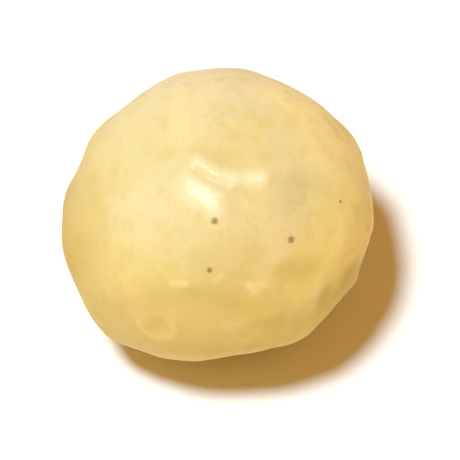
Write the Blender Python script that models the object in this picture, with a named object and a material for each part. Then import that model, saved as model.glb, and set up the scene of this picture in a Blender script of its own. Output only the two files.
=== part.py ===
"""Shelled macadamia nut kernel: one closed solid that rests on a small flat spot.

The kernel is a rounded body pressed a little flat on several sides, as kernels are when they fill their
shell. The germ tip stands out near the top, a soft shoulder runs round the front, and the lower end,
where the kernel was joined to its shell, is worn flat enough to stand on.

Units are metres, +Z is up, and the origin is the middle of the flat spot that the kernel rests on.
"""

import math

import bmesh
import bpy
from mathutils import Vector

MM = 0.001

# Driving dimensions
HALF_LENGTH_X = 9.15 * MM
HALF_LENGTH_Y = 9.10 * MM
HALF_LENGTH_Z = 9.00 * MM
CENTRE_HEIGHT = 8.25 * MM
FACET_SHARPNESS = 16.0

# The sides where the kernel was pressed flat: name, compass angle and tilt in degrees, and how far the
# flattened side lies from the middle of the kernel.
FLATTENED_SIDES = (
    ("far_left", 132.0, 23.0, 8.30 * MM),
    ("left", 159.0, 12.0, 8.50 * MM),
    ("near_left", 208.0, -16.0, 9.60 * MM),
    ("front_low", 252.0, -29.0, 9.25 * MM),
    ("front_right_low", 284.0, -29.0, 8.35 * MM),
    ("near_right", 322.0, -19.0, 9.15 * MM),
    ("far_right", 56.0, 26.0, 8.95 * MM),
    ("back", 95.0, 30.0, 8.70 * MM),
    ("back_low", 112.0, -26.0, 8.95 * MM),
    ("right_low", 28.0, -34.0, 8.90 * MM),
    ("left_low", 176.0, -36.0, 9.05 * MM),
    ("front", 270.0, 13.0, 8.75 * MM),
    ("cap_left", 208.0, 67.0, 9.00 * MM),
    ("cap_behind", 348.0, 72.0, 9.00 * MM),
    ("cap_right", 312.0, 42.0, 8.95 * MM),
    ("underside", 0.0, -90.0, 8.95 * MM),
)

# Soft lumps and hollows: name, compass angle, tilt, radius of the patch and its height (a hollow is
# below zero).
LUMPS = (
    ("germ_tip", 257.0, 68.0, 2.8 * MM, 0.18 * MM),
    ("germ_arm", 278.0, 72.0, 1.8 * MM, 0.10 * MM),
    ("hollow_behind_germ", 350.0, 84.0, 2.2 * MM, -0.12 * MM),
    ("corner_near_left", 222.0, -21.0, 3.6 * MM, 0.30 * MM),
    ("corner_far_right", 29.0, 14.0, 3.0 * MM, 0.08 * MM),
    ("corner_far_left", 150.0, 16.0, 2.4 * MM, 0.24 * MM),
    ("notch_right", 347.0, -8.0, 2.4 * MM, -0.22 * MM),
    ("dimple_front", 248.0, 9.0, 1.2 * MM, -0.10 * MM),
)

# Mesh
CUTS_PER_SIDE = 21

# Finish
KERNEL_CREAM = (0.80, 0.60, 0.27, 1.0)
KERNEL_ROUGHNESS = 0.42


def direction(compass, tilt):
    """Unit vector at a compass angle from +X towards +Y, and a tilt above the horizontal, in degrees."""
    around = math.radians(compass)
    up = math.radians(tilt)
    return Vector((math.cos(up) * math.cos(around), math.cos(up) * math.sin(around), math.sin(up)))


def smooth_bump(distance, radius):
    """1 at the middle of a patch, falling smoothly to 0 at its edge."""
    if distance >= radius:
        return 0.0
    rest = 1.0 - (distance / radius) ** 2
    return rest * rest


def body_radius(ray):
    """Distance from the kernel's middle to its surface: an ellipsoid softly cut by the flattened sides."""
    stretched = Vector((ray.x / HALF_LENGTH_X, ray.y / HALF_LENGTH_Y, ray.z / HALF_LENGTH_Z))
    total = stretched.length ** FACET_SHARPNESS
    for _name, compass, tilt, distance in FLATTENED_SIDES:
        facing = max(0.0, ray.dot(direction(compass, tilt)))
        total += (facing / distance) ** FACET_SHARPNESS
    return total ** (-1.0 / FACET_SHARPNESS)


def lump_height(ray):
    """Sum of the lumps and hollows in this direction."""
    height = 0.0
    for _name, compass, tilt, radius, rise in LUMPS:
        along_surface = CENTRE_HEIGHT * ray.angle(direction(compass, tilt))
        height += rise * smooth_bump(along_surface, radius)
    return height


def add_round_cage(bm):
    """An evenly divided cube whose corners are pushed out to a unit sphere."""
    bmesh.ops.create_cube(bm, size=2.0)
    bmesh.ops.subdivide_edges(bm, edges=bm.edges[:], cuts=CUTS_PER_SIDE, use_grid_fill=True)
    for vert in bm.verts:
        even = [math.tan(value * math.pi / 4.0) for value in vert.co]
        vert.co = Vector(even).normalized()


def shape_body(bm):
    """Moves every point of the round cage to the kernel's surface, with the base near height 0."""
    for vert in bm.verts:
        ray = vert.co.copy()
        vert.co = ray * (body_radius(ray) + lump_height(ray))
        vert.co.z += CENTRE_HEIGHT


def cut_rest_spot(bm):
    """Cuts the underside off at height 0 and closes it with the flat face that the kernel rests on."""
    geometry = bm.verts[:] + bm.edges[:] + bm.faces[:]
    cut = bmesh.ops.bisect_plane(
        bm, geom=geometry, dist=1e-7, plane_co=(0, 0, 0), plane_no=(0, 0, -1), clear_outer=True)
    rim = [item for item in cut["geom_cut"] if isinstance(item, bmesh.types.BMEdge)]
    for edge in rim:
        edge.smooth = False
    bmesh.ops.edgeloop_fill(bm, edges=rim)
    bmesh.ops.dissolve_degenerate(bm, dist=1e-6, edges=bm.edges[:])
    bmesh.ops.recalc_face_normals(bm, faces=bm.faces[:])


def kernel_material():
    """Pale waxy cream."""
    material = bpy.data.materials.new("kernel_cream")
    material.use_nodes = True
    shader = material.node_tree.nodes["Principled BSDF"]
    shader.inputs["Base Color"].default_value = KERNEL_CREAM
    shader.inputs["Roughness"].default_value = KERNEL_ROUGHNESS
    shader.inputs["Metallic"].default_value = 0.0
    return material


def add_kernel():
    """The whole kernel as one closed mesh."""
    bm = bmesh.new()
    add_round_cage(bm)
    shape_body(bm)
    cut_rest_spot(bm)
    for face in bm.faces:
        face.smooth = True
    mesh = bpy.data.meshes.new("kernel")
    bm.to_mesh(mesh)
    bm.free()
    mesh.materials.append(kernel_material())
    kernel = bpy.data.objects.new("kernel", mesh)
    bpy.context.scene.collection.objects.link(kernel)
    return kernel


for leftover in list(bpy.data.objects):
    bpy.data.objects.remove(leftover, do_unlink=True)
add_kernel()
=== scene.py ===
# %% [markdown]
# # A shelled macadamia kernel
# This lesson builds one whole macadamia kernel, out of its shell, lying on a pale table. The real kernel
# is one piece: two waxy, cream-coloured seed leaves pressed together. The frame brings its true size and
# the flat spot that it rests on. The cells below add the fine skin, the finish, the light and the camera.

# %% Load the frame
import math

import bmesh
import bpy
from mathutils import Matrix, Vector
from mathutils.bvhtree import BVHTree
from mathutils.kdtree import KDTree


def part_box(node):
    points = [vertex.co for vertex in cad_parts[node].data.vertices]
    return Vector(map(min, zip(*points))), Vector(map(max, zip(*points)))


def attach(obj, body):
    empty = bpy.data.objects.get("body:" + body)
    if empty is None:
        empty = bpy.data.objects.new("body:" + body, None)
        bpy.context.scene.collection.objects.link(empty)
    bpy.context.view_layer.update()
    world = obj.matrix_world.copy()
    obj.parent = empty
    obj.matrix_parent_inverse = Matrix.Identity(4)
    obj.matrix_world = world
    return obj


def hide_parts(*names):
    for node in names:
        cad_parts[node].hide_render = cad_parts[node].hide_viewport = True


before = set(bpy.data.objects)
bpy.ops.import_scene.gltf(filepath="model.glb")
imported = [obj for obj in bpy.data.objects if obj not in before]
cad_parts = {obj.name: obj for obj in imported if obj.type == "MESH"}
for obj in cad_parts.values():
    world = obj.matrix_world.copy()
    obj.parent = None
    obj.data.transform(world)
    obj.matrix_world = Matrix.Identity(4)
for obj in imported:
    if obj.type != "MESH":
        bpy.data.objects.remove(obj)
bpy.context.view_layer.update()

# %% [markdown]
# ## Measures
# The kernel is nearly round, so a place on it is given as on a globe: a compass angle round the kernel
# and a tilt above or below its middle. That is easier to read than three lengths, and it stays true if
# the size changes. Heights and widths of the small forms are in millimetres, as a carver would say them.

MM = 0.001
MIDDLE_SHARE_OF_HEIGHT = 0.487
low_corner, high_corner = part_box("kernel")
middle = Vector((0.0, 0.0, MIDDLE_SHARE_OF_HEIGHT * (high_corner.z - low_corner.z)))
half_width = (high_corner.x - low_corner.x) / 2
print("kernel, millimetres:", [round(side / MM, 2) for side in high_corner - low_corner])


def outward(compass, tilt):
    """Unit vector at a compass angle from +X towards +Y, and a tilt above the horizontal, in degrees."""
    around = math.radians(compass)
    up = math.radians(tilt)
    return Vector((math.cos(up) * math.cos(around), math.cos(up) * math.sin(around), math.sin(up)))


# %% [markdown]
# ## The round blank
# A kernel has no seam and no poles, so a globe made of rings would pinch where its rings meet. A cube
# rounded by a Subdivision Surface has even square faces all over, and takes fine detail well. While it is
# still a cube, each of its six faces gets a cell of its own on a flat map.

# %% A cube whose six faces have their own map cells
MAP_COLUMNS = 3
MAP_ROWS = 2
CELL_MARGIN = 0.01

bpy.ops.object.select_all(action="DESELECT")
bpy.ops.mesh.primitive_cube_add(size=2 * half_width, location=middle)
kernel = bpy.context.active_object
kernel.name = "kernel_skin"
bpy.ops.object.transform_apply(location=True, rotation=True, scale=True)
bake_map = kernel.data.uv_layers.active
bake_map.name = "OFBake"
for face in kernel.data.polygons:
    column = face.index % MAP_COLUMNS
    row = face.index // MAP_COLUMNS
    for corner, loop in enumerate(face.loop_indices):
        across = 1 - CELL_MARGIN if corner in (1, 2) else CELL_MARGIN
        along = 1 - CELL_MARGIN if corner in (2, 3) else CELL_MARGIN
        bake_map.data[loop].uv = ((column + across) / MAP_COLUMNS, (row + along) / MAP_ROWS)
print("map cells:", MAP_COLUMNS * MAP_ROWS)

# %% [markdown]
# The cube is rounded, pushed out to a true ball, and then drawn in along its own directions on to the
# frame's kernel with a Shrinkwrap, so the skin has the real kernel's flattened sides. The frame's kernel
# is made of small flat faces, and a Smooth modifier takes their edges out again.

# %% Round the cube and draw it on to the frame's kernel
ROUNDING_STEPS = 7
SMOOTHING_PASSES = 40

rounding = kernel.modifiers.new("rounding", "SUBSURF")
rounding.levels = ROUNDING_STEPS
rounding.render_levels = ROUNDING_STEPS
rounding.uv_smooth = "NONE"
bpy.ops.object.modifier_apply(modifier="rounding")
bpy.ops.object.mode_set(mode="EDIT")
bpy.ops.mesh.select_all(action="SELECT")
bpy.ops.transform.tosphere(value=1.0, center_override=middle)
bpy.ops.object.mode_set(mode="OBJECT")

wrap = kernel.modifiers.new("wrap", "SHRINKWRAP")
wrap.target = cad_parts["kernel"]
wrap.wrap_method = "PROJECT"
wrap.use_negative_direction = True
wrap.use_positive_direction = True
bpy.ops.object.modifier_apply(modifier="wrap")
soften = kernel.modifiers.new("soften", "SMOOTH")
soften.factor = 0.5
soften.iterations = SMOOTHING_PASSES
bpy.ops.object.modifier_apply(modifier="soften")
print("square faces on the blank:", len(kernel.data.polygons))

# %% [markdown]
# ## A sculptor's two tools
# The small forms are made as a thumb or a blunt knife makes them: the points along a short line are
# picked, then raised or pressed in along the skin's own direction, and their neighbours follow smoothly.
# The same lines can also be marked, like chalk on the skin, for the finish to colour them later.

# %% Picking points along a line on the skin
STEP_ALONG_LINE = 0.12 * MM

blank_surface = BVHTree.FromObject(kernel, bpy.context.evaluated_depsgraph_get())
skin_points = KDTree(len(kernel.data.vertices))
for vertex in kernel.data.vertices:
    skin_points.insert(vertex.co, vertex.index)
skin_points.balance()
touched = {"pressed": 0, "marked": 0}
print("points on the skin:", len(kernel.data.vertices))


def surface_place(compass, tilt):
    """The point of the blank that lies in this direction from the kernel's middle."""
    return blank_surface.ray_cast(middle, outward(compass, tilt))[0]


def line_places(corners):
    """Points close together along a line through these compass and tilt pairs."""
    stops = [surface_place(*corner) for corner in corners]
    line = [stops[0]]
    for start, end in zip(stops, stops[1:]):
        steps = max(1, round((end - start).length / STEP_ALONG_LINE))
        line += [start.lerp(end, step / steps) for step in range(1, steps + 1)]
    return line


# %% Pressing and marking
def press(corners, height, reach):
    """Raises (height above 0) or presses in (below 0) the skin along a line, to this reach beside it."""
    picked = {skin_points.find(place)[1] for place in line_places(corners)}
    bpy.ops.mesh.select_all(action="DESELECT")
    bm = bmesh.from_edit_mesh(kernel.data)
    bm.verts.ensure_lookup_table()
    for index in picked:
        bm.verts[index].select = True
    bmesh.update_edit_mesh(kernel.data)
    bpy.ops.transform.shrink_fatten(
        value=height * MM, use_proportional_edit=True,
        proportional_edit_falloff="SMOOTH", proportional_size=reach * MM)
    touched["pressed"] += 1


marks = {name: [0.0] * len(kernel.data.vertices) for name in ("pale", "gold", "oily", "painted_highlight")}


def mark(name, corners, strength, reach):
    """Chalks a line on the skin, strongest on the line and fading out at this reach beside it."""
    for place in line_places(corners):
        for _co, index, distance in skin_points.find_range(place, reach * MM):
            fade = (1.0 - (distance / (reach * MM)) ** 2) ** 2
            marks[name][index] = max(marks[name][index], strength * fade)
    touched["marked"] += 1


bpy.ops.object.mode_set(mode="EDIT")
bpy.ops.mesh.select_mode(type="VERT")
print("kinds of mark:", ", ".join(marks))

# %% [markdown]
# ## Corners and flats
# Inside its shell a kernel is pressed against the walls, and it comes out with soft corners and flats.
# The frame has the large ones. These sharpen the few that show in the kernel's outline: each is one point
# of the skin that is raised or pressed in, and its neighbours follow.

# %% Corners and flats of the outline
OUTLINE_FORMS = (  # compass angle, tilt, height, reach
    (308, -24, 0.13, 1.7), (323, -16, -0.12, 2.0), (331, -15, -0.06, 1.4), (338, -12, 0.13, 1.6),
    (346, -7, -0.18, 1.4), (356, -2, 0.07, 1.2), (284, -29, -0.20, 2.8), (235, -25, -0.10, 1.8),
    (225, -20, 0.04, 1.8), (26, 13, 0.12, 1.7), (172, 5, 0.16, 1.7), (161, 9, -0.09, 1.6),
    (83, 31, 0.08, 1.8), (74, 29, 0.08, 1.5))

for compass, tilt, height, reach in OUTLINE_FORMS:
    press([(compass, tilt)], height, reach)
print("corners and flats:", touched["pressed"])

# %% [markdown]
# ## The germ tip
# The germ lies at the kernel's upper end, where its two halves meet. There the skin stands up in a low
# tip with a lip beside it and a crease between them. An arm of three small bumps runs on to the right,
# towards a round knoll, and a shallow hollow lies behind.

# %% Tip, lip, crease, arm and hollow
GERM_TIP = [(230, 70), (246, 69), (262, 67.5), (270, 64)]
GERM_LIP = [(234, 79.5), (262, 77.8), (284, 75), (292, 73)]
GERM_CREASE = [(240, 75.5), (264, 73), (282, 70)]
GERM_ARM = [(283, 73.3), (302, 71.1), (318, 67.1)]
GERM_FORMS = (  # name, line, height, reach
    ("foot", [(256, 68)], -0.06, 2.0),
    ("swelling", [(275, 60.3)], 0.14, 1.3),
    ("tip", GERM_TIP, 0.04, 0.80),
    ("lip", GERM_LIP, 0.10, 0.85),
    ("knoll", [(326, 63.7)], 0.30, 2.5),
    ("first bump", [(303, 71.1)], 0.05, 0.75),
    ("second bump", [(312, 69.2)], 0.06, 0.65),
    ("third bump", [(320.5, 66)], 0.07, 0.60),
    ("crease", GERM_CREASE, -0.08, 0.45),
    ("left nick", [(251, 71.5), (255, 68)], -0.030, 0.38),
    ("front nick", [(259, 66.4), (272, 67)], -0.025, 0.34),
    ("notch", [(286, 73)], -0.06, 0.70),
    ("hollow", [(352, 78)], -0.10, 1.9))

for _name, line, height, reach in GERM_FORMS:
    press(line, height, reach)
print("germ:", ", ".join(form[0] for form in GERM_FORMS))

# %% [markdown]
# Nut oil gathers at the germ, so its crests are the shiniest part, and the bumps break the light's
# reflection into a few pieces. The same crests are also painted pale, a painted highlight where the
# lamp's reflection falls, which keeps such low forms readable.

# %% Oily places and painted highlights at the germ
GERM_MARKS = (  # kind, line, strength, reach
    ("oily", GERM_TIP, 1.0, 1.4),
    ("oily", GERM_LIP, 0.8, 0.9),
    ("oily", GERM_ARM, 1.0, 0.9),
    ("painted_highlight", GERM_ARM, 1.0, 0.74),
    ("painted_highlight", [(234, 79.3), (250, 78), (272, 75.5)], 0.6, 0.50),
    ("painted_highlight", [(240, 69), (262, 68.5), (268, 65)], 0.45, 1.3),
    ("painted_highlight", [(264, 66), (271, 61.8)], 0.75, 0.90))

for kind, line, strength, reach in GERM_MARKS:
    mark(kind, line, strength, reach)
print("oily and waxy places:", len(GERM_MARKS))

# %% [markdown]
# ## Ridges and shoulder
# Soft ridges run down from the tip, where the shell's inner wall changed direction, and a rounded
# shoulder crosses the front, with two low bands at the right. Three of them are painted paler along their
# crests.

# %% Ridges, the front shoulder and the bands at the right
RIDGE_UP = [(182, 79), (140, 73), (116, 64)]
RIDGE_RIGHT = [(328, 66), (350, 57), (357, 48), (357, 36), (356, 23)]
SHOULDER = [(226, 14), (233, 21), (243, 28), (256, 33), (271, 34), (288, 30), (300, 25), (311, 19)]
RIGHT_BAND = [(336, 27), (324, 21), (311, 18), (302, 13)]
RIGHT_EDGE_BAND = [(342, 12), (330, 8), (318, 4), (305, 0)]
RIDGE_FORMS = (  # line, height, reach
    (RIDGE_UP, 0.08, 1.0), (RIDGE_RIGHT, 0.10, 1.2), (SHOULDER, 0.10, 1.6),
    (RIGHT_BAND, 0.06, 1.0), (RIGHT_EDGE_BAND, 0.04, 1.0))
RIDGE_MARKS = (  # line, strength, reach
    (RIDGE_UP, 0.30, 0.9), (RIDGE_RIGHT, 0.38, 0.9), (RIGHT_BAND, 0.42, 1.0))

for line, height, reach in RIDGE_FORMS:
    press(line, height, reach)
for line, strength, reach in RIDGE_MARKS:
    mark("pale", line, strength, reach)
print("ridges and bands:", len(RIDGE_FORMS), "rubbed:", len(RIDGE_MARKS))

# %% [markdown]
# ## Scuffs, dents and stains
# Cracking and sorting leave small knocks: pale scuffs where the outer wax is rubbed off, round dents with
# a raised edge, and darker oil stains where the skin was pressed in. Each is pressed and marked, and its
# mark spreads a little past its form.

# %% How a scuff and a stain are made, heights in millimetres
SCUFF_HEIGHT = 0.03
SCUFF_SPREAD = 1.1
STAIN_SPREAD = 1.2


def scuff(corners, reach, strength=1.0):
    """A rubbed place: slightly proud, pale and dry."""
    press(corners, SCUFF_HEIGHT, reach)
    mark("pale", corners, strength, reach * SCUFF_SPREAD)


def stain(corners, reach, depth, strength=1.0):
    """A pressed place where oil has darkened the skin."""
    press(corners, -depth, reach)
    mark("gold", corners, strength, reach * STAIN_SPREAD)


# %% Scuffs and stains on the front
scuff([(252, 32), (257, 33.3)], 0.42)
scuff([(285.5, 31.5), (289.5, 30.5), (287, 28.5)], 0.50)
scuff([(311.5, 16.3), (314, 17.2)], 0.50)
scuff([(301, 37), (306, 37.5)], 0.50, 0.4)
scuff([(273, 37.5), (271, 36)], 0.36, 0.5)
scuff([(276, 12), (286, 8)], 0.70, 0.3)
scuff([(300, 9), (308, 10)], 0.60, 0.4)
stain([(302, 31), (309, 29), (315, 26.5)], 1.10, 0.04)
stain([(283, 8), (294, 10), (302, 11)], 1.10, 0.04)
stain([(316, 13), (314.5, 10)], 0.60, 0.02)
stain([(248, 25), (262, 26), (284, 23)], 1.50, 0.04, 0.55)
stain([(333, 7), (327, 9)], 1.00, 0.03)
# Two broad bands make the skin darker gold along its lower edge, at the left and at the lower right.
mark("gold", [(190, 6), (206, 2), (228, 2), (252, 0), (276, -4)], 0.6, 3.4)
mark("gold", [(333, 3), (324, -1), (315, -5), (305, -8), (294, -12)], 1.0, 2.0)
print("lines worked on the skin so far:", touched)

# %% Round dents with a raised edge
DENT_EDGE_STEPS = 10
DENT_EDGE_START = 170
DENT_EDGE_SWEEP = 230
DENT_EDGE_REACH = 0.36
DENT_MARK_REACH = 0.38
PALE_FOR_EDGE_HEIGHT = 12
DENTS = (  # compass angle, tilt, radius, depth, height of the edge
    (248, 8.5, 0.95, 0.08, 0.035), (62, 4, 1.9, 0.12, 0.012), (150, -8, 1.4, 0.08, 0.015))


def dent(compass, tilt, radius, depth, edge_height):
    """A shallow round dent: the middle goes in, and an open curve round its lower side comes up."""
    degrees = math.degrees(radius * MM / middle.z)
    edge = []
    for step in range(DENT_EDGE_STEPS + 1):
        turn = math.radians(DENT_EDGE_START + DENT_EDGE_SWEEP * step / DENT_EDGE_STEPS)
        sideways = degrees * math.cos(turn) / math.cos(math.radians(tilt))
        edge.append((compass + sideways, tilt + degrees * math.sin(turn)))
    press([(compass, tilt)], -depth, radius)
    press(edge, edge_height, DENT_EDGE_REACH)
    mark("pale", edge, PALE_FOR_EDGE_HEIGHT * edge_height, DENT_MARK_REACH)


for place_and_size in DENTS:
    dent(*place_and_size)
print("dents:", len(DENTS))

# %% Scuffs and stains round the sides and the back
STROKE = 2.2
STROKE_REACH = 0.34
STROKE_STRENGTH = 0.8
STROKES = (  # compass angle, tilt, turn of the stroke
    (205, -18, 40), (188, -6, -20), (170, -14, 60), (150, 10, 15), (128, 2, -50), (112, 38, 70),
    (98, -12, 20), (80, 24, -35), (48, 36, 50), (36, -8, -10), (20, 12, 80), (5, -20, 30),
    (340, -22, -60), (236, -16, 25), (266, -22, -15))
SMEAR_RIGHT = 9
SMEAR_DOWN = 3
SMEAR_REACH = 1.50
SMEAR_DEPTH = 0.04
SMEARS = ((180, 12), (135, -14), (105, 10), (70, -20), (30, 22), (10, -8), (215, -24))

for compass, tilt, turn in STROKES:
    lean = math.radians(turn)
    end = (compass + STROKE * math.cos(lean), tilt + STROKE * math.sin(lean))
    scuff([(compass, tilt), end], STROKE_REACH, STROKE_STRENGTH)
for compass, tilt in SMEARS:
    stain([(compass, tilt), (compass + SMEAR_RIGHT, tilt - SMEAR_DOWN)], SMEAR_REACH, SMEAR_DEPTH)
print("round the sides and the back, scuffs:", len(STROKES), "stains:", len(SMEARS))

# %% [markdown]
# ## Seam and belt
# The two seed leaves meet along a line that runs from the germ over the back. It shows only on the lower
# half of the back, as a faint oily groove. Round the middle goes the belt where the pale upper skin gives
# way to the glossier lower skin, which has a slightly raised and uneven edge.

# %% The seam on the back
SEAM = [(92, 26), (90, 14), (88, 2), (89, -12), (91, -28), (93, -46)]
SEAM_DEPTH = 0.05
SEAM_REACH = 0.35
SEAM_MARK_REACH = 0.30
SEAM_STRENGTH = 0.45

press(SEAM, -SEAM_DEPTH, SEAM_REACH)
mark("gold", SEAM, SEAM_STRENGTH, SEAM_MARK_REACH)
print("seam, millimetres long:", round((len(line_places(SEAM)) - 1) * STEP_ALONG_LINE / MM))

# %% The belt between the upper and the lower skin
BELT_TILT = -10.0
BELT_LEAN = 18.0
BELT_WAVES = ((1.6, 3, 0.4), (1.0, 7, 0.0))  # height in degrees, waves in a turn, start
BELT_STEP = 5
BELT_HEIGHT = 0.03
BELT_REACH = 0.45


def belt_tilt(compass):
    """How high the belt lies at this compass angle: it leans down to the front and wanders a little."""
    turn = math.radians(compass)
    wander = sum(rise * math.sin(count * turn + start) for rise, count, start in BELT_WAVES)
    return BELT_TILT + BELT_LEAN * math.sin(turn) + wander


belt = [(compass, belt_tilt(compass)) for compass in range(0, 361, BELT_STEP)]
press(belt, BELT_HEIGHT, BELT_REACH)
bpy.ops.object.mode_set(mode="OBJECT")
print("lines worked on the skin:", touched)

# %% Mark the skin below the belt
BELT_SOFTNESS = 2.5

marks["lower"] = []
for vertex in kernel.data.vertices:
    arm = vertex.co - middle
    compass = math.degrees(math.atan2(arm.y, arm.x))
    tilt = math.degrees(math.atan2(arm.z, arm.xy.length))
    below = (belt_tilt(compass) - tilt) / BELT_SOFTNESS
    marks["lower"].append(min(1.0, max(0.0, 0.5 + 0.5 * below)))
print("share of the skin below the belt:", round(sum(marks["lower"]) / len(marks["lower"]), 2))

# %% [markdown]
# ## Fine relief
# Even where nothing knocked it, the skin isn't a perfect curve. Displace modifiers with cloud textures
# give it broad waves, small lumps and the faint leathery grain of a dried seed. The resting spot is
# flattened last, by squeezing what lies lowest to the table's height.

# %% Waves, lumps and grain
RELIEF = (  # name, size and height in millimetres
    ("broad_waves", 3.4, 0.22), ("small_lumps", 1.2, 0.05), ("leathery_grain", 0.45, 0.014))


def roughen(name, size, height):
    """Displaces the skin with soft clouds of this size and height."""
    clouds = bpy.data.textures.new(name, "CLOUDS")
    clouds.noise_scale = size * MM
    clouds.noise_depth = 1
    relief = kernel.modifiers.new(name, "DISPLACE")
    relief.texture = clouds
    relief.texture_coords = "LOCAL"
    relief.strength = height * MM
    relief.mid_level = 0.5
    bpy.ops.object.modifier_apply(modifier=name)


for name, size, height in RELIEF:
    roughen(name, size, height)
    print(name, "with a height of", height, "mm")

# %% The flat resting spot
SPOT_TOLERANCE = 0.03 * MM

for vertex in kernel.data.vertices:
    vertex.select = vertex.co.z < SPOT_TOLERANCE
bpy.ops.object.mode_set(mode="EDIT")
bpy.ops.transform.resize(value=(1, 1, 0), center_override=(0, 0, 0))
bpy.ops.mesh.select_all(action="SELECT")
bpy.ops.mesh.normals_make_consistent(inside=False)
bpy.ops.object.mode_set(mode="OBJECT")
bpy.ops.object.shade_smooth()
spot = [vertex.co for vertex in kernel.data.vertices if vertex.co.z == 0]
spot_width = max(place.x for place in spot) - min(place.x for place in spot)
print("resting spot, millimetres across:", round(spot_width / MM, 1), "points:", len(spot))

# %% Store the chalk marks on the mesh for the finish
for name, values in marks.items():
    layer = kernel.data.attributes.new(name, "FLOAT", "POINT")
    layer.data.foreach_set("value", values)
print("marks stored:", ", ".join(marks))

# %% [markdown]
# ## The finish
# A material is a small machine of nodes. These helpers keep it short: one adds a node and fills in its
# sockets by name, two add a sum on numbers or on places, and one adds a mixing step for two colours. All
# patterns are laid out in the kernel's own space, so they run over it without a seam.


# %% Node helpers
def feed(tree, socket, value):
    """Links another node's output to a socket, or sets the socket to a plain value."""
    if isinstance(value, bpy.types.NodeSocket):
        tree.links.new(value, socket)
    else:
        socket.default_value = value


def add_node(tree, kind, settings=None, **inputs):
    """Adds a node; inputs are sockets by name, with _ for a space, holding a value or another socket."""
    node = tree.nodes.new(kind)
    for setting, value in (settings or {}).items():
        setattr(node, setting, value)
    for name, value in inputs.items():
        feed(tree, node.inputs[name.replace("_", " ")], value)
    return node


def math_step(tree, operation, first, second):
    """A Math node's result for two values or sockets."""
    node = add_node(tree, "ShaderNodeMath", {"operation": operation})
    for socket, value in zip(node.inputs, (first, second)):
        feed(tree, socket, value)
    return node.outputs["Value"]


def vector_step(tree, operation, *values):
    """A Vector Math node's result for up to three places or sockets."""
    node = add_node(tree, "ShaderNodeVectorMath", {"operation": operation})
    for socket, value in zip(node.inputs, values):
        feed(tree, socket, value)
    return node.outputs["Value" if operation in ("DISTANCE", "DOT_PRODUCT") else "Vector"]


def blend_colour(tree, amount, below, above):
    """Lays one colour over another by an amount from 0 to 1."""
    node = add_node(tree, "ShaderNodeMix", {"data_type": "RGBA"})
    for name, value in (("Factor_Float", amount), ("A_Color", below), ("B_Color", above)):
        feed(tree, next(socket for socket in node.inputs if socket.identifier == name), value)
    return next(socket for socket in node.outputs if socket.identifier == "Result_Color")


# %% [markdown]
# Two effects are used again and again, so each is a node group. "Mottle" is a soft patchy mask of any
# size. "Speck" is one small round mark with a soft edge, placed by its centre.


# %% The mottle group
def new_group(name, inputs, output):
    """A node group with the named inputs, each a kind of socket and a first value, and one output."""
    group = bpy.data.node_groups.new(name, "ShaderNodeTree")
    for title, kind, value in inputs:
        socket = group.interface.new_socket(title, in_out="INPUT", socket_type="NodeSocket" + kind)
        if value is not None:
            socket.default_value = value
    group.interface.new_socket(output, in_out="OUTPUT", socket_type="NodeSocketFloat")
    return group, group.nodes.new("NodeGroupInput"), group.nodes.new("NodeGroupOutput")


mottle, given, result = new_group("mottle", (
    ("Place", "Vector", None), ("Size", "Float", 0.001), ("Cover", "Float", 0.5),
    ("Softness", "Float", 0.15)), "Mask")
frequency = math_step(mottle, "DIVIDE", 1.0, given.outputs["Size"])
cloud = add_node(mottle, "ShaderNodeTexNoise", Vector=given.outputs["Place"], Scale=frequency,
                 Detail=3.0, Roughness=0.55)
threshold = math_step(mottle, "SUBTRACT", 1.0, given.outputs["Cover"])
start = math_step(mottle, "SUBTRACT", threshold, given.outputs["Softness"])
end = math_step(mottle, "ADD", threshold, given.outputs["Softness"])
ramp = add_node(mottle, "ShaderNodeMapRange", {"interpolation_type": "SMOOTHSTEP"},
                Value=cloud.outputs["Fac"], From_Min=start, From_Max=end)
mottle.links.new(ramp.outputs["Result"], result.inputs["Mask"])
print("node group:", mottle.name)

# %% The speck group
SPECK_OUTER = 1.35
SPECK_INNER = 0.25

speck, given, result = new_group("speck", (
    ("Place", "Vector", None), ("Centre", "Vector", None), ("Radius", "Float", 0.0002)), "Mask")
gap = vector_step(speck, "DISTANCE", given.outputs["Place"], given.outputs["Centre"])
share = math_step(speck, "DIVIDE", gap, given.outputs["Radius"])
soft_edge = add_node(speck, "ShaderNodeMapRange", {"interpolation_type": "SMOOTHSTEP"},
                     Value=share, From_Min=SPECK_OUTER, From_Max=SPECK_INNER)
speck.links.new(soft_edge.outputs["Result"], result.inputs["Mask"])
print("node group:", speck.name)

# %% [markdown]
# ## Kernel flesh
# Macadamia flesh is waxy and a little see-through, so light sinks in and comes out warmer: Subsurface
# does that. The colour is laid on in thin glazes, as a painter would, each through a mask of its own.
# First comes cream with warm patches, then a dry bloom at the back and the golden sides. The gold of the
# sides is partly the kernel's own colour and partly painted shade where they turn away from the lamp
# overhead, and it is painted lighter on the right, away from the lamp, and darker on the left, which
# faces it.

# %% The flesh's colours
# Some of these paint light and shade: the light cream and the light golden are painted light on the side
# away from the lamp, the amber is painted shade, and the pale cream laid on the germ's crests is a
# painted highlight.
CREAM = (0.70, 0.625, 0.33, 1)
WARM_CREAM = (0.72, 0.575, 0.24, 1)
PAINTED_LIGHT_CREAM = (0.95, 0.77, 0.30, 1)
WARM_LIGHT = (0.90, 0.70, 0.36, 1)
BLOOM = (0.78, 0.69, 0.43, 1)
GOLDEN = (0.75, 0.58, 0.165, 1)
PAINTED_LIGHT_GOLDEN = (0.89, 0.69, 0.185, 1)
TAN = (0.74, 0.58, 0.25, 1)
PAINTED_SHADE_AMBER = (0.57, 0.40, 0.08, 1)
OIL_GOLD = (0.58, 0.445, 0.105, 1)
RUBBED = (0.84, 0.70, 0.33, 1)
HIGHLIGHT_CREAM = (0.84, 0.77, 0.50, 1)
BROWN = (0.19, 0.10, 0.015, 1)

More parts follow.
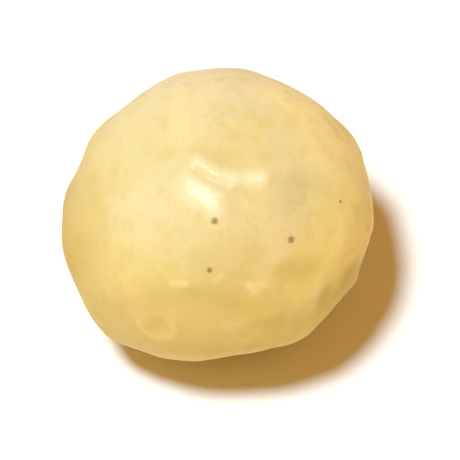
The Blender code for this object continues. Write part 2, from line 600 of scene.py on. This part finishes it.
flesh = bpy.data.materials.new("kernel_flesh")
flesh.use_nodes = True
tree = flesh.node_tree
shader = tree.nodes["Principled BSDF"]
kernel.data.materials.clear()
kernel.data.materials.append(flesh)
print("material:", flesh.name)

# %% Masks, marks and glazes
place = add_node(tree, "ShaderNodeTexCoord").outputs["Object"]


def mottled(size, cover, softness):
    """A patchy mask over the flesh; its size is in millimetres."""
    node = add_node(tree, "ShaderNodeGroup", {"node_tree": mottle}, Place=place, Size=size * MM,
                    Cover=cover, Softness=softness)
    return node.outputs["Mask"]


def chalked(name):
    """One of the marks stored on the mesh."""
    return add_node(tree, "ShaderNodeAttribute", {"attribute_name": name}).outputs["Fac"]


def glaze(below, mask, above, strength):
    """Lays a colour over the colour below, where the mask shows and this strongly."""
    return blend_colour(tree, math_step(tree, "MULTIPLY", mask, strength), below, above)


broad_patches = mottled(size=4.5, cover=0.45, softness=0.16)
small_patches = mottled(size=1.1, cover=0.42, softness=0.14)
freckles = mottled(size=0.30, cover=0.36, softness=0.10)
print("patchy masks: broad patches, small patches and freckles")

# %% Masks for one side of the kernel
WOBBLE = 0.22
SLIGHT_SHARE_OF_WOBBLE = 0.18

from_middle = vector_step(tree, "SUBTRACT", place, middle)
facing_out = vector_step(tree, "NORMALIZE", from_middle)
wobble = math_step(tree, "MULTIPLY", math_step(tree, "SUBTRACT", broad_patches, 0.5), WOBBLE)
slight_wobble = math_step(tree, "MULTIPLY", wobble, SLIGHT_SHARE_OF_WOBBLE)


def towards(pole, edges, uneven=wobble):
    """A soft mask over one side of the kernel: its edges are cosines of the angle from the pole."""
    facing = vector_step(tree, "DOT_PRODUCT", facing_out, pole)
    wobbled = math_step(tree, "ADD", facing, uneven)
    side = add_node(tree, "ShaderNodeMapRange", {"interpolation_type": "SMOOTHSTEP"},
                    Value=wobbled, From_Min=edges[0], From_Max=edges[1])
    return side.outputs["Result"]


# %% Cream, warm patches, the bloom, and the golden sides with painted light and shade
# The sides turn golden away from the top: partly the kernel's own colour, partly painted shade where the
# sides turn from the lamp overhead.
golden_sides_and_shade = towards(outward(120, 84), (0.88, 0.05))
bloom = towards(outward(95, 38), (0.50, 1.00))
# Painted light: the right side, turned away from the lamp, gets a lighter gold.
painted_light_right = towards(outward(355, 18), (0.40, 1.00))
# Painted shade: the left side, which faces the lamp, is darkened with amber.
painted_shade_left = towards(outward(180, -8), (0.50, 1.05))

colour = glaze(CREAM, broad_patches, WARM_CREAM, strength=0.35)
colour = glaze(colour, bloom, BLOOM, strength=0.80)
side_gold_light_and_shade = blend_colour(tree, painted_light_right, GOLDEN, PAINTED_LIGHT_GOLDEN)
side_gold_light_and_shade = glaze(side_gold_light_and_shade, painted_shade_left, PAINTED_SHADE_AMBER, strength=0.80)
colour = glaze(colour, golden_sides_and_shade, side_gold_light_and_shade, strength=0.95)
print("laid on: cream, warm patches, bloom and golden sides")

# %% [markdown]
# A few wide and very soft patches shift the colour of one side a little. Some are painted light and
# shade:
# an amber one on the lower right edge and one on the left are painted shade, a golden one is painted
# shade in the hollow behind the germ, and a light cream one is painted light on the upper right, away
# from the lamp.
# Two tan ones make the front darker towards the bottom. Over them come the small patches and freckles of
# the dried skin, and the lower skin, whose edge follows the belt and is made ragged with one more patchy
# mask.

# %% Soft patches with painted light and shade, freckles and the lower skin
SOFT_PATCHES_LIGHT_AND_SHADE = (  # pole, edges, strength, colour
    # painted light on the upper right, away from the lamp
    (outward(27, 35), (0.82, 0.98), 0.55, PAINTED_LIGHT_CREAM),
    # painted shade on the lower right edge, next to the cast shadow
    (outward(323, -3), (0.92, 1.00), 0.68, PAINTED_SHADE_AMBER),
    # painted shade on the left side, which faces the lamp
    (outward(192, 20), (0.86, 0.99), 0.28, PAINTED_SHADE_AMBER),
    (outward(234, 0), (0.84, 0.99), 0.50, TAN),
    (outward(292, 52), (0.93, 0.995), 0.30, WARM_LIGHT),
    # painted shade in the hollow behind the germ
    (outward(352, 76), (0.94, 0.995), 0.30, GOLDEN),
    (outward(231, 50), (0.93, 0.995), 0.35, BLOOM),
    (outward(266, 11), (0.92, 0.99), 0.40, TAN),
    (outward(275, 39), (0.95, 0.995), 0.25, OIL_GOLD))
RAGGEDNESS = 0.5
LOWER_EDGE = (0.20, 0.80)

for pole, edges, strength, patch_colour in SOFT_PATCHES_LIGHT_AND_SHADE:
    colour = glaze(colour, towards(pole, edges, slight_wobble), patch_colour, strength)
colour = glaze(colour, small_patches, OIL_GOLD, strength=0.26)
colour = glaze(colour, freckles, OIL_GOLD, strength=0.18)

edge_patches = math_step(tree, "SUBTRACT", mottled(size=0.7, cover=0.5, softness=0.25), 0.5)
ragged = math_step(tree, "MULTIPLY", edge_patches, RAGGEDNESS)
ragged = math_step(tree, "ADD", chalked("lower"), ragged)
lower_skin_and_shade = add_node(tree, "ShaderNodeMapRange", {"interpolation_type": "SMOOTHSTEP"}, Value=ragged,
                      From_Min=LOWER_EDGE[0], From_Max=LOWER_EDGE[1]).outputs["Result"]
# The lower skin is darker gold, partly its own colour and partly painted shade on the underside.
colour = glaze(colour, lower_skin_and_shade, OIL_GOLD, strength=0.34)
print("soft patches:", len(SOFT_PATCHES_LIGHT_AND_SHADE))

# %% [markdown]
# The chalk marks come next: oil stains, rubbed places and the painted highlights on the crests at the
# germ.
# Stains and rubbed places are broken up with a patchy mask, so they don't look painted on.

# %% Oil stains, scuffs and painted highlights at the germ
gold = math_step(tree, "MULTIPLY", chalked("gold"), mottled(size=0.9, cover=0.75, softness=0.30))
rubbed = math_step(tree, "MULTIPLY", chalked("pale"), mottled(size=0.60, cover=0.72, softness=0.30))
colour = glaze(colour, gold, OIL_GOLD, strength=0.48)
colour = glaze(colour, rubbed, RUBBED, strength=0.72)
# Painted highlight: the germ's crests are painted pale where the lamp's reflection falls.
colour = glaze(colour, chalked("painted_highlight"), HIGHLIGHT_CREAM, strength=0.75)
print("laid on: oil stains, rubbed places and waxy crests")

# %% [markdown]
# Last come the small brown specks, where a crumb of the dark seed coat stayed on. Real specks have ragged
# rims, so the place that each one is measured from is first shifted a little by a fine noise.

# %% Brown specks
SPECKS = (  # compass angle, tilt, radius
    (270, 58, 0.22), (311.6, 41.2, 0.235), (267.5, 40, 0.175), (344, 34.5, 0.12), (222, -24, 0.12),
    (178, -10, 0.12), (160, 4, 0.20), (131, 12, 0.13), (107, -4, 0.18), (84, 20, 0.16),
    (74, 2, 0.12), (52, -14, 0.20), (28, 6, 0.14), (12, -10, 0.17), (352, -14, 0.12),
    (330, -30, 0.18), (290, -34, 0.13), (256, -36, 0.16), (196, -18, 0.14))
RIM_SHIFT = 0.16 * MM

jitter = add_node(tree, "ShaderNodeTexNoise", Vector=place, Scale=1 / RIM_SHIFT, Detail=1.0)
centred = vector_step(tree, "SUBTRACT", jitter.outputs["Color"], (0.5, 0.5, 0.5))
uneven_place = vector_step(tree, "MULTIPLY_ADD", centred, (RIM_SHIFT, RIM_SHIFT, RIM_SHIFT), place)

skin_now = BVHTree.FromObject(kernel, bpy.context.evaluated_depsgraph_get())
speckled = 0.0
for compass, tilt, radius in SPECKS:
    centre = skin_now.ray_cast(middle, outward(compass, tilt))[0]
    spot_mask = add_node(tree, "ShaderNodeGroup", {"node_tree": speck}, Place=uneven_place,
                         Centre=centre, Radius=radius * MM).outputs["Mask"]
    speckled = math_step(tree, "MAXIMUM", speckled, spot_mask)
colour = glaze(colour, speckled, BROWN, strength=0.74)
tree.links.new(colour, shader.inputs["Base Color"])
print("specks:", len(SPECKS))

# %% [markdown]
# ## Gloss and grain
# The skin is satin. It is shinier on the lower skin and drier where it is rubbed, which the roughness
# shows. The oil at the germ is a clear film over it, so that is a coat.

# %% Roughness, coat and depth
SATIN = 0.50
ROUGHER_IN_PATCHES = 0.08
SMOOTHER_BELOW = 0.08
ROUGHER_WHERE_RUBBED = 0.12
OIL_ALL_OVER = 0.02
OIL_STRENGTH = 0.90

rough = math_step(tree, "ADD", SATIN, math_step(tree, "MULTIPLY", small_patches, ROUGHER_IN_PATCHES))
rough = math_step(tree, "SUBTRACT", rough, math_step(tree, "MULTIPLY", lower_skin_and_shade, SMOOTHER_BELOW))
rough = math_step(tree, "ADD", rough, math_step(tree, "MULTIPLY", rubbed, ROUGHER_WHERE_RUBBED))
tree.links.new(rough, shader.inputs["Roughness"])
oil = math_step(tree, "ADD", OIL_ALL_OVER, chalked("oily"))
tree.links.new(math_step(tree, "MULTIPLY", oil, OIL_STRENGTH), shader.inputs["Coat Weight"])
shader.inputs["Coat Roughness"].default_value = 0.41
shader.inputs["Specular IOR Level"].default_value = 0.08
shader.inputs["Subsurface Weight"].default_value = 0.40
shader.inputs["Subsurface Radius"].default_value = (1.0, 0.6, 0.2)
shader.inputs["Subsurface Scale"].default_value = 0.9 * MM
print("satin with oil at the germ, roughness about", SATIN)

# %% [markdown]
# A very fine grain of pores and wrinkles goes into the normals, because it is smaller than the mesh can
# carry. The specks are sunk in a little.

# %% Grain
PORE_SIZE = 0.16 * MM
PORE_SHARE = 0.35
WRINKLE_SIZE = 0.55 * MM
SPECK_SINK = 0.8
GRAIN_DEPTH = 0.03 * MM

pores = add_node(tree, "ShaderNodeTexNoise", Vector=place, Scale=1 / PORE_SIZE, Detail=2.0)
wrinkles = add_node(tree, "ShaderNodeTexNoise", Vector=place, Scale=1 / WRINKLE_SIZE, Detail=3.0)
grain = math_step(tree, "MULTIPLY", pores.outputs["Fac"], PORE_SHARE)
grain = math_step(tree, "ADD", grain, wrinkles.outputs["Fac"])
grain = math_step(tree, "SUBTRACT", grain, math_step(tree, "MULTIPLY", speckled, SPECK_SINK))
bump = add_node(tree, "ShaderNodeBump", Height=grain, Strength=0.45, Distance=GRAIN_DEPTH)
tree.links.new(bump.outputs["Normal"], shader.inputs["Normal"])
print("nodes in the flesh:", len(tree.nodes))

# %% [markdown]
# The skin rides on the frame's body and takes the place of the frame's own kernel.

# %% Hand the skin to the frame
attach(kernel, "root")
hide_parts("kernel")
print("skin faces:", len(kernel.data.polygons))

# %% [markdown]
# ## The table
# A plain, nearly white table top that runs past every view, so the kernel and its shadow stand alone.

# %% Table top
TABLE_WIDTH = 6.0
TABLE_WHITE = (0.88, 0.88, 0.88, 1)

bpy.ops.object.select_all(action="DESELECT")
bpy.ops.mesh.primitive_plane_add(size=TABLE_WIDTH)
table = bpy.context.active_object
table.name = "table_top"
table_paint = bpy.data.materials.new("table_white")
table_paint.use_nodes = True
paint = table_paint.node_tree.nodes["Principled BSDF"]
paint.inputs["Base Color"].default_value = TABLE_WHITE
paint.inputs["Roughness"].default_value = 0.9
paint.inputs["Specular IOR Level"].default_value = 0.1
table.data.materials.append(table_paint)
print("table, metres wide:", TABLE_WIDTH)

# %% [markdown]
# ## Light
# One soft lamp shines from nearly overhead, a little from the left and from the camera's side. It is
# slightly cool. A warm, dim fill from all round stands for light that has bounced off warm things, so lit
# places come out neutral and the shadow golden brown. The camera sees plain white instead of the fill,
# so the background stays clean.

# %% Key lamp
KEY_FROM = Vector((-0.236, -0.145, 0.960))
KEY_WIDTH_DEGREES = 10.0
KEY_POWER = 3.55
KEY_COLOUR = (0.80, 0.93, 1.0)

bpy.ops.object.light_add(type="SUN")
key = bpy.context.active_object
key.name = "key_lamp"
key.data.energy = KEY_POWER
key.data.angle = math.radians(KEY_WIDTH_DEGREES)
key.data.color = KEY_COLOUR
key.rotation_mode = "QUATERNION"
key.rotation_quaternion = KEY_FROM.to_track_quat("Z", "Y")
print("key lamp, degrees above the table:", round(math.degrees(math.asin(KEY_FROM.normalized().z))))

# %% Warm fill and white background
FILL_COLOUR = (1.0, 0.48, 0.12, 1)
FILL_STRENGTH = 0.48
BACKDROP_WHITE = (1, 1, 1, 1)
BACKDROP_STRENGTH = 1.1

studio = bpy.data.worlds.new("studio")
studio.use_nodes = True
bpy.context.scene.world = studio
room = studio.node_tree
room.nodes.clear()
fill = add_node(room, "ShaderNodeBackground", Color=FILL_COLOUR, Strength=FILL_STRENGTH)
backdrop = add_node(room, "ShaderNodeBackground", Color=BACKDROP_WHITE, Strength=BACKDROP_STRENGTH)
seen = add_node(room, "ShaderNodeLightPath").outputs["Is Camera Ray"]
both = add_node(room, "ShaderNodeMixShader")
room.links.new(seen, both.inputs[0])
room.links.new(fill.outputs["Background"], both.inputs[1])
room.links.new(backdrop.outputs["Background"], both.inputs[2])
sky = add_node(room, "ShaderNodeOutputWorld")
room.links.new(both.outputs["Shader"], sky.inputs["Surface"])
print("fill strength:", FILL_STRENGTH)

# %% [markdown]
# ## Camera
# The camera looks down at 60 degrees through a long lens from a hand's reach away, so the kernel keeps
# its true outline and fills two thirds of the frame, with room for its shadow at the lower right.

# %% Camera
VIEW_TILT = 60.0
LENS = 400.0
SENSOR_WIDTH = 36.0
FRAME_WIDTH = 26.5 * MM
AIM_RIGHT = 0.86 * MM
AIM_DOWN = 0.82 * MM
NEAR_LIMIT = 0.01
FAR_LIMIT = 10.0

towards_camera = outward(-90.0, VIEW_TILT)
view_up = outward(90.0, 90.0 - VIEW_TILT)
aim = middle + Vector((AIM_RIGHT, 0, 0)) - view_up * AIM_DOWN
camera_data = bpy.data.cameras.new("camera")
camera_data.lens = LENS
camera_data.sensor_width = SENSOR_WIDTH
camera_data.clip_start = NEAR_LIMIT
camera_data.clip_end = FAR_LIMIT
camera = bpy.data.objects.new("camera", camera_data)
camera.location = aim + towards_camera * (FRAME_WIDTH * LENS / SENSOR_WIDTH)
camera.rotation_mode = "QUATERNION"
camera.rotation_quaternion = towards_camera.to_track_quat("Z", "Y")
bpy.context.scene.collection.objects.link(camera)
bpy.context.scene.camera = camera
bpy.context.scene.view_settings.view_transform = "Standard"
print("camera, millimetres from the kernel:", round((camera.location - middle).length / MM))
